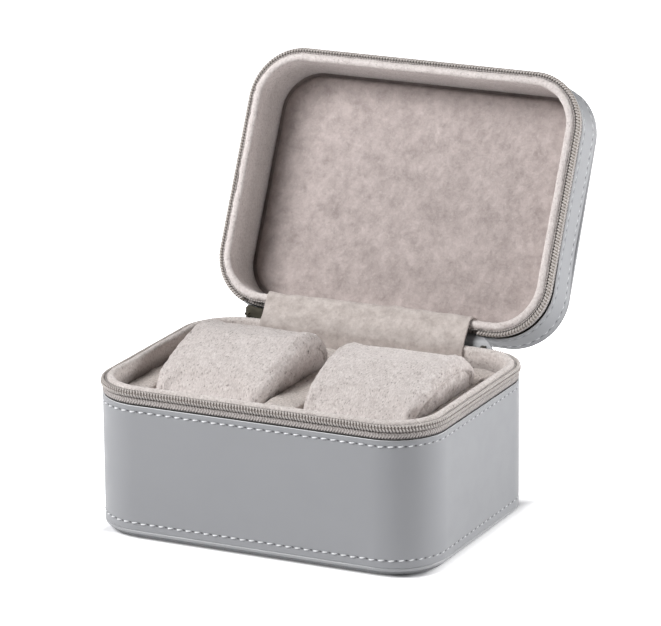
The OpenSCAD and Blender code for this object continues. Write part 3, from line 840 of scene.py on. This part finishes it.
# %% Insert
def softened_copy(node, name, voxel, rounds):
    """A copy of a CAD node as an even mesh of square cells, smoothed in the given rounds."""
    me = frame["nodes"][node].data.copy()
    bm = bmesh.new()
    bm.from_mesh(me)
    bmesh.ops.remove_doubles(bm, verts=bm.verts, dist=1e-6)
    bm.to_mesh(me)
    bm.free()
    me.materials.clear()
    rough = placed(name + "_rough", me)
    cells = rough.modifiers.new("even_cells", "REMESH")
    cells.mode, cells.voxel_size = "VOXEL", voxel * MM
    ease = rough.modifiers.new("round_over", "SMOOTH")
    ease.factor, ease.iterations = 0.5, rounds
    seen = rough.evaluated_get(bpy.context.evaluated_depsgraph_get())
    soft = bpy.data.meshes.new_from_object(seen)
    soft.name = name
    bpy.data.objects.remove(rough)
    return placed(name, soft)


def points_of(made):
    """A mesh's points in millimetres, and their normals."""
    n = len(made.data.vertices)
    co, no = np.zeros(n * 3, np.float32), np.zeros(n * 3, np.float32)
    made.data.vertices.foreach_get("co", co)
    made.data.vertices.foreach_get("normal", no)
    return co.reshape(-1, 3).astype(float) / MM, no.reshape(-1, 3).astype(float)


def move_points(made, points):
    """Puts points in millimetres back into a mesh."""
    made.data.vertices.foreach_set("co", (points * MM).astype(np.float32).ravel())
    made.data.update()


insert = softened_copy("insert", "suede_insert", 1.05, 5)
p, n = points_of(insert)
top = smooth_step(p[:, 2], 50, 62)
move_points(insert, p + n * (top * (0.14 * bumps(p, 16, 21) + 0.07 * bumps(p, 5, 22)
                                + 0.05 * bumps(p, 2.4, 23)))[:, None])
insert.data.shade_smooth()
insert.data.materials.append(suede_insert)
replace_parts(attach(insert, "tub"), "insert")
print("insert", len(insert.data.polygons), "quads")

# %% [markdown]
# ## Padded panel in the lid
# A card covered in thin foam and suede is pressed into the lid. It has a rolled edge
# and a low crown. The surface is the outline drawn smaller and smaller towards the
# middle: k is 1 at the edge and 0 in the middle, and the height depends on k.


# %% Lid panel
SPAN = 60  # from the panel's middle to its edge, about


def lid_panel():
    """Rings of the outline, scaled by k, with the height base + thickness + crown cos(pi k/2)
    and a wide elliptical valley at the edge; below, the same rings lie flat on the lid's board."""
    base, thick, crown, roll = 3.4, 2.8, 1.2, 4.6
    s = np.linspace(0, AROUND, 520, endpoint=False)
    x, y = outline(s, -6.5)
    k = np.linspace(0.02, 1, 70) ** 0.75
    inset = np.full(len(k), roll)
    z = base + thick + crown * np.cos(np.pi * k / 2) ** 0.8
    a = np.radians(np.linspace(84, 0, 12))
    edge_in = 0.9 + (roll - 0.9) * (1 - np.cos(a))
    edge_z = base + thick - (thick - 0.2) * (1 - np.sin(a))
    k = np.concatenate([k, np.ones(15), [0.5, 0.02]])
    inset = np.concatenate([inset, edge_in, [0.5, -0.7, -0.7, 0, 0]])
    z = np.concatenate([z, edge_z, [base + 0.2, base + 0.2, base, base, base]])
    shrink = (1 - inset / SPAN)[:, None]
    grid = np.stack([k[:, None] * shrink * x[None], k[:, None] * shrink * y[None],
                     z[:, None] + 0 * x[None]], -1)
    uneven = 0.14 * bumps(grid, 26, 31) + 0.06 * bumps(grid, 6, 32) + 0.03 * bumps(grid, 2.2, 33)
    grid[..., 2] += uneven * smooth_step(z, base + 1, base + 2.5)[:, None]
    # u is the distance from the wall, so that painted shade darkens the nap in the seam
    u = np.maximum(inset + (1 - k) * SPAN, 0) / UV_MM
    made = surface("lid_suede_panel", as_lid(grid), (False, True), u, np.zeros(len(s) + 1),
                   crease=60)
    made.data.materials.append(suede_panel)
    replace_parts(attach(made, "lid"), "lid_panel")
    return made


lid_panel()

# %% [markdown]
# ## Watch pillows
# Each pillow is a block of foam wrapped in suede, round which a watch strap closes. It
# lies back in its pocket, front end down. The wrap rolls over the ends and is sewn to
# a small puffed disc, so each end shows a fold and then a soft mound.
# A pillow is a loft: an oval ring at each station along it. The stations follow a
# path that runs from the middle of one end, over the roll, along the length and down
# into the other end. The oval is a squared ellipse, which is a sine and cosine raised
# to a power below one.

# %% Pillows
LEAN = math.radians(17)
HALF_L, HALF_H, SQUARE = 39.8, 26.8, 2 / 2.45
CENTRE_X, CENTRE_Y, CENTRE_Z = 37.25, 1.5, 52.74
HALF_W, ROLL = 27.45, 4.4


def oval_ring(inset, share, count):
    """Squared ellipse drawn in by inset and then scaled by share, as (y, z) from its
    middle, turned by the lean."""
    t = np.linspace(0, 2 * np.pi, count, endpoint=False)
    c, s = np.cos(t), np.sin(t)
    y = (HALF_L - inset) * np.sign(c) * np.abs(c) ** SQUARE * share
    z = (HALF_H - inset) * np.sign(s) * np.abs(s) ** SQUARE * share
    return np.stack([y * math.cos(LEAN) - z * math.sin(LEAN),
                     y * math.sin(LEAN) + z * math.cos(LEAN)], -1)


def end_path():
    """Inset, share and two depths from the end plane for one end, from its middle outwards:
    a mound, the sewn crease, and the roll, an arc of radius ROLL. The first depth has a
    deep crease, the second hardly any."""
    mound = [(12, 0.05, -1.2, -1.0), (12, 0.3, -1.2, -1.0), (12, 0.5, -1.1, -0.95),
             (12, 0.72, -1.0, -0.9), (12, 0.9, -0.8, -0.75), (11.4, 1, -0.45, -0.6),
             (10.3, 1, 0.0, -0.4), (9.2, 1, 0.7, -0.2), (8.3, 1, 1.6, 0.0), (7.6, 1, 2.5, 0.2),
             (7.1, 1, 2.8, 0.25), (6.7, 1, 2.1, 0.25)]
    a = np.radians(np.linspace(-26, 90, 13))
    deep = ROLL - ROLL * np.cos(a)
    shallow = np.where(a < 0, 0.22 * deep, deep)
    roll = np.stack([ROLL - ROLL * np.sin(a), 1 + 0 * a, deep, shallow], -1)
    return np.concatenate([mound, roll])


def puffed(made, sewn, stretch, cap):
    """Blows the cloth up a little: the points listed in sewn stay, the cloth is longer than
    its shape by the share stretch, and air presses from inside for 20 frames. No point
    moves more than cap millimetres."""
    rest, _ = points_of(made)
    held = made.vertex_groups.new(name="sewn")
    held.add([int(k) for k in sewn], 1.0, "REPLACE")
    cloth = made.modifiers.new("air", "CLOTH")
    cloth.settings.vertex_group_mass = "sewn"
    cloth.settings.use_pressure = True
    cloth.settings.uniform_pressure_force = 4
    cloth.settings.shrink_min = -stretch
    cloth.settings.quality = 5
    cloth.settings.effector_weights.gravity = 0
    cloth.collision_settings.use_collision = False
    scene = bpy.context.scene
    for k in range(1, 21):
        scene.frame_set(k)
    seen = made.evaluated_get(bpy.context.evaluated_depsgraph_get())
    moved = np.zeros(len(rest) * 3, np.float32)
    seen.data.vertices.foreach_get("co", moved)
    moved = moved.reshape(-1, 3).astype(float) / MM - rest
    made.modifiers.remove(cloth)
    scene.frame_set(1)
    far = np.linalg.norm(moved, axis=1, keepdims=True)
    print(made.name, "cloth moved up to", round(float(far.max()), 2), "mm")
    move_points(made, rest + moved * (np.tanh(far / cap) * cap / np.maximum(far, 1e-6)))


def subdivided(made):
    """The mesh once subdivided and rounded, in place of the coarse one."""
    rounder = made.modifiers.new("rounder", "SUBSURF")
    rounder.levels = rounder.render_levels = 1
    seen = made.evaluated_get(bpy.context.evaluated_depsgraph_get())
    fine = bpy.data.meshes.new_from_object(seen)
    made.modifiers.remove(rounder)
    made.data = fine
    print(made.name, "has", len(fine.polygons), "faces")


def pillow(name, side):
    """Loft of oval rings along the two end paths and the crowned length between them, with
    the seams sewn down, the cloth puffed up, and the nap's tufts on the finished surface."""
    end = end_path()
    middle_x = np.linspace(-HALF_W + ROLL + 0.8, HALF_W - ROLL - 0.8, 30)
    crown = 0.5 * np.cos(np.pi * middle_x / (2 * HALF_W))
    inset = np.concatenate([end[:, 0], -crown, end[::-1, 0]])
    share = np.concatenate([end[:, 1], np.ones(len(middle_x)), end[::-1, 1]])
    count = 150
    rings = np.stack([oval_ring(i, k, count) for i, k in zip(inset, share)])
    # the crease is deep along the front of the oval and fades towards its top and back
    t = np.linspace(0, 2 * np.pi, count, endpoint=False)
    deep = 0.35 + 0.65 * smooth_step(-np.cos(t - 0.35), -0.95, 0.0)
    deep = deep * (0.3 if side < 0 else 1.0)
    depth = deep[None] * end[:, 2:3] + (1 - deep[None]) * end[:, 3:]
    x = np.concatenate([-HALF_W + depth, np.repeat(middle_x[:, None], count, 1),
                        (HALF_W - depth)[::-1]])
    grid = np.concatenate([x[..., None], rings], -1)
    # the wrap is fuller at the top of both ends, and the right pillow's top is lower
    full = smooth_step(np.abs(grid[..., 0]), HALF_W - 12, HALF_W)
    full = full * smooth_step(grid[..., 2], 4, 20)
    grid[..., 0] += 2.6 * full * np.sign(grid[..., 0])
    if side > 0:
        grid[..., 2] -= 1.7 * smooth_step(grid[..., 2], 8, 28)
    grid = grid + np.array([side * CENTRE_X, CENTRE_Y, CENTRE_Z])
    seed = 40 if side < 0 else 60
    made = surface(name, grid, (False, True), crease=180)
    crease = int(np.argmax(end[:14, 2]))
    rows = np.array([crease, crease + 1, len(grid) - 1 - crease, len(grid) - 2 - crease])
    low = np.nonzero(grid[..., 2].ravel() < 32)[0]
    sewn = np.concatenate([(rows[:, None] * count + np.arange(count)).ravel(), low])
    puffed(made, sewn, stretch=0.05, cap=1.1)
    subdivided(made)
    p, n = points_of(made)
    near_end = smooth_step(np.abs(p[:, 0] - side * CENTRE_X), HALF_W - 9, HALF_W - 1)
    uneven = (0.08 + 0.10 * near_end) * bumps(p, 24, seed) + 0.07 * bumps(p, 1.7, seed + 2)
    uneven = uneven + (0.04 + 0.12 * near_end) * bumps(p, 7, seed + 1)
    move_points(made, p + n * (uneven - 0.1)[:, None])
    made.data.shade_smooth()
    made.data.materials.append(suede_pillow)
    body = "left_pillow" if side < 0 else "right_pillow"
    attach(made, body)
    where = body.split("_")[0]
    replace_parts(made, f"{where}_core", f"{where}_wrap", f"{where}_cap_outer", f"{where}_cap_inner")
    return made


pillow("left_watch_pillow", -1)
pillow("right_watch_pillow", 1)

# %% [markdown]
# ## Suede hinge strip
# A strip of suede hides the hinge inside. It is glued to the tub's back wall, runs over
# both rims and into the lid. It has to bend when the lid closes, so it isn't fixed to
# one body.
# The strip is a path in the y-z plane, given a thickness and carried across x.


# %% Hinge strip
def arc(middle, radius, start, end, count):
    """Points of a circle arc, the angles in degrees."""
    a = np.radians(np.linspace(start, end, count))
    return np.stack([middle[0] + radius * np.cos(a), middle[1] + radius * np.sin(a)], -1)


def spaced(path, step):
    """The path with points at equal distances of about step."""
    way = np.concatenate([[0], np.cumsum(np.linalg.norm(np.diff(path, axis=0), axis=1))])
    at = np.linspace(0, way[-1], int(way[-1] / step) + 1)
    return np.stack([np.interp(at, way, path[:, 0]), np.interp(at, way, path[:, 1])], -1), at


def strip_grid(path, thick, x, wrinkle):
    """Both faces of a strip along a path (m, 2), across the values x, moved square to the
    path by half the thickness and by a wrinkle (m, x); the section closes round it."""
    way = np.gradient(path, axis=0)
    way /= np.linalg.norm(way, axis=1, keepdims=True)
    side = np.stack([-way[:, 1], way[:, 0]], -1)
    faces = []
    for sign in (1, -1):
        q = path[:, None] + side[:, None] * (sign * thick / 2 + wrinkle)[..., None]
        faces.append(np.concatenate([np.broadcast_to(x, q.shape[:2])[..., None], q], -1))
    return np.concatenate([faces[0], faces[1][:, ::-1]], 1)


STRIP_THICK, SLACK = 1.2, 0.05
inner_y = CASE_D / 2 - WALL_IN - SLACK - STRIP_THICK / 2
tub_rim = np.array([CASE_D / 2 - RIM_IN, TUB_H - RIM_DROP])
lid_rim = opened((CASE_D / 2 - RIM_IN, TUB_H + RIM_DROP))
reach = RIM_R + SLACK + STRIP_THICK / 2
turn_at = math.degrees(math.atan2(*(lid_rim - tub_rim)[::-1])) + 90
strip_path = np.concatenate([
    [[inner_y + 0.3, 62.4], [inner_y, 65.0], [inner_y, 67.5]],
    arc(tub_rim, reach, 180, turn_at, 12),
    arc(lid_rim, reach, turn_at, 180 - math.degrees(OPEN), 16),
    [opened((inner_y, TUB_H + LID_H / 2)), opened((inner_y, TUB_H + LID_H - 6.55))],
])
strip_path, strip_way = spaced(strip_path, 0.9)
share = strip_way / strip_way[-1]
round_end = 3.5 * (1 - np.sqrt(np.clip(1 - smooth_step(share, 0.72, 1.0) ** 2, 0, 1)))
strip_x = np.linspace(-54.4, 50.2, 96)[None] + np.linspace(-1, 0, 96)[None] * share[:, None]
strip_x = strip_x * (1 - round_end[:, None] / 53)
P = np.stack(np.broadcast_arrays(strip_x, strip_path[:, :1], strip_path[:, 1:]), -1)
free = smooth_step(strip_way, 6, 12) * smooth_step(strip_way[-1] - strip_way, 14, 20)
wrinkle = free[:, None] * (0.35 * bumps(P, 17, 71) + 0.16 * bumps(P * [0.5, 1, 1], 6, 72))
sides = strip_grid(strip_path, STRIP_THICK, strip_x, wrinkle)
# u runs along the strip from its lower end, so that painted shade darkens the part that goes down
# into the tub
strip = surface("suede_hinge_strip", sides, (False, True), strip_way / UV_MM,
                np.zeros(sides.shape[1] + 1), crease=50)
strip.data.materials.append(suede_strip)
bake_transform(strip)
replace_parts(strip, "hinge_strip")
print("hinge strip, mm:", round(float(strip_way[-1]), 1))

# %% [markdown]
# ## Leather over the hinge
# Outside, one strip of leather joins the two walls. Its path is a Bezier curve that
# leaves both walls straight and bows out between them.


# %% Hinge leather
def bezier(a, b, c, d, count):
    """Cubic Bezier curve from a to d, which sets out towards b and arrives from c."""
    t = np.linspace(0, 1, count)[:, None]
    u = 1 - t
    return u**3 * a + 3 * u * u * t * b + 3 * u * t * t * c + t**3 * d


wall_y = CASE_D / 2 - 0.65
low = np.array([wall_y, TUB_H - BAND_GAP + 0.05])
high = opened((wall_y, TUB_H + BAND_GAP - 0.05))
hinge_path = bezier(low, low + [0, BAND_GAP * 0.75],
                    opened((wall_y, TUB_H + BAND_GAP * 0.25)), high, 60)
hinge_path, hinge_way = spaced(hinge_path, 0.5)
across = np.linspace(-1, 1, 90)
right_edge = 62.5 - 10.5 * smooth_step(hinge_way / hinge_way[-1], 0.35, 1.0)
hinge_x = np.where(across[None] > 0, across[None] * right_edge[:, None], across[None] * 56.5)
P = np.stack(np.broadcast_arrays(hinge_x, hinge_path[:, :1], hinge_path[:, 1:]), -1)
free = np.sin(np.pi * hinge_way / hinge_way[-1])[:, None]
crease = free * 0.14 * bumps(P * [0.25, 1, 1], 5, 81)
spine = surface("leather_hinge", strip_grid(hinge_path, 1.3, hinge_x, crease), (False, True),
                crease=50)
spine.data.materials.append(plain_leather)
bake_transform(spine)
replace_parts(spine, "hinge_leather")

# %% [markdown]
# ## Slider and pull
# The slider is die-cast zinc, plated dark. Bail, pull and stop keep the CAD shapes, and
# the slider is a copy, drawn in a little at its left end. The plating is a metal with a
# little unevenness in its gloss from handling.

# %% Metal
gunmetal = mottled("plated_zinc", "#6f6c60", 2.5, "#66645a", "#7d7a6d", 5, bump=(0.15, 0.00008),
                   gloss=(0.34, 0.5), metallic=0.9, roughness=0.4)
board_grey = mottled("grey_board", "#b9a88c", 1.5, "#a8977c", "#c4b498", 5, roughness=0.9)


def finish_nodes(material, *names):
    """Give CAD nodes a material in place of their own."""
    for name in names:
        me = frame["nodes"][name].data
        me.materials.clear()
        me.materials.append(material)


def own_copy(node, name, material):
    """A copy of a CAD node with a mesh of its own, which may be moved."""
    me = frame["nodes"][node].data.copy()
    me.materials.clear()
    me.materials.append(material)
    return placed(name, me)


finish_nodes(gunmetal, "zip_bail", "zip_pull", "zip_stop")
slider = own_copy("zip_slider", "die_cast_slider", gunmetal)
SHORTER = np.array([0.86, 1, 1])
p = points_of(slider)[0]
move_points(slider, p.max(0) + SHORTER * (p - p.max(0)))
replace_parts(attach(slider, "tub"), "zip_slider")
finish_nodes(board_grey, "base_board", "lid_board")
finish_nodes(bottom_leather, "base_bottom")
finish_nodes(welt_leather, "base_piping")
for node, name, material, slot in (("lid_top", "lid_top_leather", plain_leather, "grey_leather"),
                                   ("lid_piping", "lid_welt", welt_leather, "piping_leather")):
    made = own_copy(node, name, material)
    move_points(made, flared_lid(from_lid(points_of(made)[0])))
    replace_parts(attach(made, "lid"), node)

# %% [markdown]
# ## Floor and light
# The case stands on a plain white sweep under soft light. The floor shows white where
# nothing shades it, and still takes the case's shadow close by: it is a matt surface
# that also glows, but only for rays that come from the camera or a reflection, so the
# glow puts no light on the case.


# %% Stage
def stage_floor():
    """A large flat floor just under the case. Its glow starts at the case's footprint and
    is full 10 mm outside it, so that only a narrow line of shadow stays."""
    me = bpy.data.meshes.new("floor")
    e = 6.0
    me.from_pydata([(-e, -e, 0), (e, -e, 0), (e, e, 0), (-e, e, 0)], [], [(0, 1, 2, 3)])
    made = placed("floor", me)
    mat = bpy.data.materials.new("white_sweep")
    mat.use_nodes = True
    tree = mat.node_tree
    tree.nodes.clear()
    matt = add(tree, "BsdfDiffuse", {"Color": linear("#f2f2f4")})
    ray = add(tree, "LightPath").outputs
    seen = add(tree, "Math", [ray["Is Glossy Ray"], 0.6, ray["Is Camera Ray"]],
               operation="MULTIPLY_ADD")
    seen = add(tree, "Math", [seen, ray["Is Transmission Ray"]], operation="MAXIMUM")
    # how far a point is outside the footprint, in metres: the larger of two distances
    place = add(tree, "SeparateXYZ", [add(tree, "TexCoord").outputs["Object"]]).outputs
    away = []
    for axis, size in enumerate((CASE_W, CASE_D)):
        side = add(tree, "Math", [place[axis]], operation="ABSOLUTE")
        away.append(add(tree, "Math", [side, size / 2 * MM - 0.006], operation="SUBTRACT"))
    away = add(tree, "Math", away, operation="MAXIMUM")
    level = add(tree, "MapRange", [away, 0.0, 0.010])
    seen = add(tree, "Math", [seen, level], operation="MULTIPLY")
    glow = add(tree, "Emission", {"Color": (1, 1, 1, 1), "Strength": seen})
    add(tree, "OutputMaterial", {"Surface": add(tree, "AddShader", [matt, glow])})
    me.materials.append(mat)


def soft_box(name, place, aim, width, height, power):
    """A rectangular area lamp at place, turned towards aim, in metres and watts."""
    lamp = bpy.data.lights.new(name, "AREA")
    lamp.shape, lamp.size, lamp.size_y, lamp.energy = "RECTANGLE", width, height, power
    made = placed(name, lamp)
    made.location = place
    made.rotation_euler = (Vector(aim) - Vector(place)).to_track_quat("-Z", "Y").to_euler()
    return made


stage_floor()
soft_box("left_front_box", (-0.8, -0.8, 1.1), (0, 0, 0.08), 0.8, 0.8, 30)
soft_box("right_back_box", (1.2, 0.9, 0.6), (0, 0, 0.08), 0.8, 0.8, 21)
soft_box("right_low_box", (1.4, -0.2, 0.3), (0, 0, 0.08), 0.8, 0.5, 5.8)

world = bpy.data.worlds.new("studio")
bpy.context.scene.world = world
world.use_nodes = True
tree = world.node_tree
tree.nodes.clear()
ray = add(tree, "LightPath").outputs
seen = add(tree, "Math", [ray["Is Camera Ray"], ray["Is Transmission Ray"]], operation="MAXIMUM")
sky = add(tree, "Background", {"Color": (1, 1, 1, 1), "Strength": seen})
add(tree, "OutputWorld", {"Surface": sky})
bpy.context.scene.view_settings.view_transform = "Standard"
